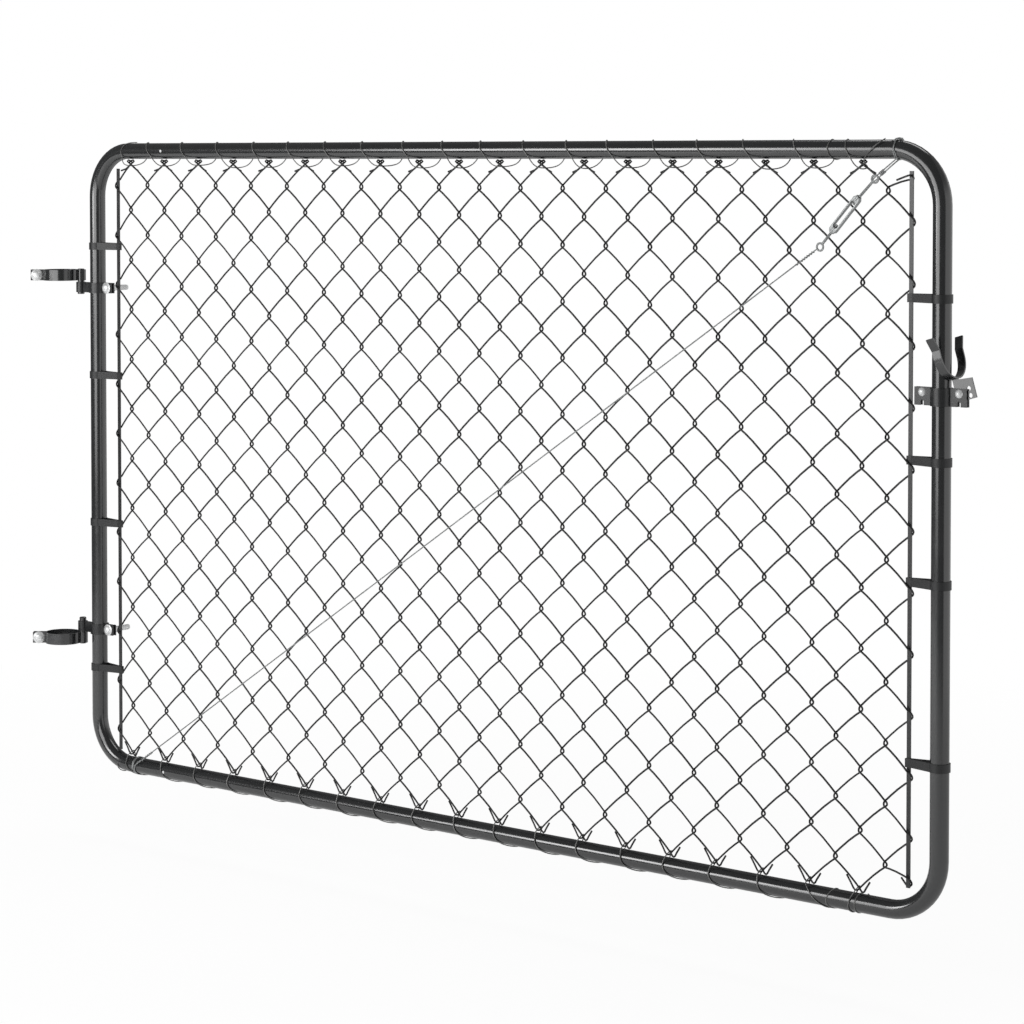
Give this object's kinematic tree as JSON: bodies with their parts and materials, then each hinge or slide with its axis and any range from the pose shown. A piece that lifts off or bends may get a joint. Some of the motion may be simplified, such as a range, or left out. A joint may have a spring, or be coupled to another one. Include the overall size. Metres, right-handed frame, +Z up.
{
  "type": "chain link gate",
  "caption": "Walk-through chain link gate: round tube frame, woven wire fabric, strap hinges that clamp a post, brace cable with turnbuckle and a drop-over fork latch.",
  "frame": {"origin": "on the axis of the hinge post, at mid height of the lower post hinge strap", "axes": "+X along the gate from hinge side to latch side as it stands open at rest, +Y to the back, +Z up"},
  "size_m": [1.993, 0.1093, 1.1624],
  "materials": {
    "black_powder_coat": "black powder coat on steel, satin",
    "black_coated_wire": "black polymer coated steel wire",
    "lacing_wire": "thin black coated tie wire",
    "zinc_plate": "bright zinc plate",
    "galvanised_steel": "galvanised steel cable and fittings"
  },
  "bodies": {
    "post_fittings": {"post_hinge_lower": "black_powder_coat", "post_hinge_upper": "black_powder_coat", "hinge_pin_lower": "black_powder_coat", "hinge_pin_upper": "black_powder_coat", "post_bolt_lower": "zinc_plate", "post_bolt_upper": "zinc_plate", "post_nut_lower": "zinc_plate", "post_nut_upper": "zinc_plate"},
    "gate": {"frame_hinge_side": "black_powder_coat", "frame_latch_side": "black_powder_coat", "gate_hinge_lower": "black_powder_coat", "gate_hinge_upper": "black_powder_coat", "gate_bolt_lower": "zinc_plate", "gate_bolt_upper": "zinc_plate", "gate_nut_lower": "zinc_plate", "gate_nut_upper": "zinc_plate", "tension_bar_hinge_side": "black_powder_coat", "tension_bar_latch_side": "black_powder_coat", "tension_band_hinge_1": "black_powder_coat", "tension_band_hinge_2": "black_powder_coat", "tension_band_hinge_3": "black_powder_coat", "tension_band_hinge_4": "black_powder_coat", "tension_band_latch_1": "black_powder_coat", "tension_band_latch_2": "black_powder_coat", "tension_band_latch_3": "black_powder_coat", "tension_band_latch_4": "black_powder_coat", "chain_link_1": "black_coated_wire", "chain_link_2": "black_coated_wire", "chain_link_3": "black_coated_wire", "chain_link_4": "black_coated_wire", "lacing_wire_top": "lacing_wire", "lacing_wire_bottom": "lacing_wire", "truss_cable": "galvanised_steel", "cable_loop_lower": "galvanised_steel", "cable_loop_upper": "galvanised_steel", "cable_link_upper": "galvanised_steel", "turnbuckle_body": "galvanised_steel", "turnbuckle_eye": "galvanised_steel", "turnbuckle_hook": "galvanised_steel", "latch_clamp_front": "black_powder_coat", "latch_clamp_rear": "black_powder_coat", "latch_bolt_inner": "zinc_plate", "latch_bolt_pivot": "zinc_plate", "latch_nut_inner": "zinc_plate", "latch_nut_pivot": "zinc_plate"},
    "fork": {"latch_fork": "black_powder_coat"}
  },
  "joints": [
    {"name": "gate_swing", "type": "hinge", "parent": "post_fittings", "child": "gate", "pos_m": [0.02859, 0.02332, 0], "axis": [0, 0, 1], "range_deg": [-51, 129]},
    {"name": "fork_pivot", "type": "hinge", "parent": "gate", "child": "fork", "pos_m": [1.906, 0.02332, 0.551], "axis": [0, 1, 0], "range_deg": [0, 106]}
  ]
}
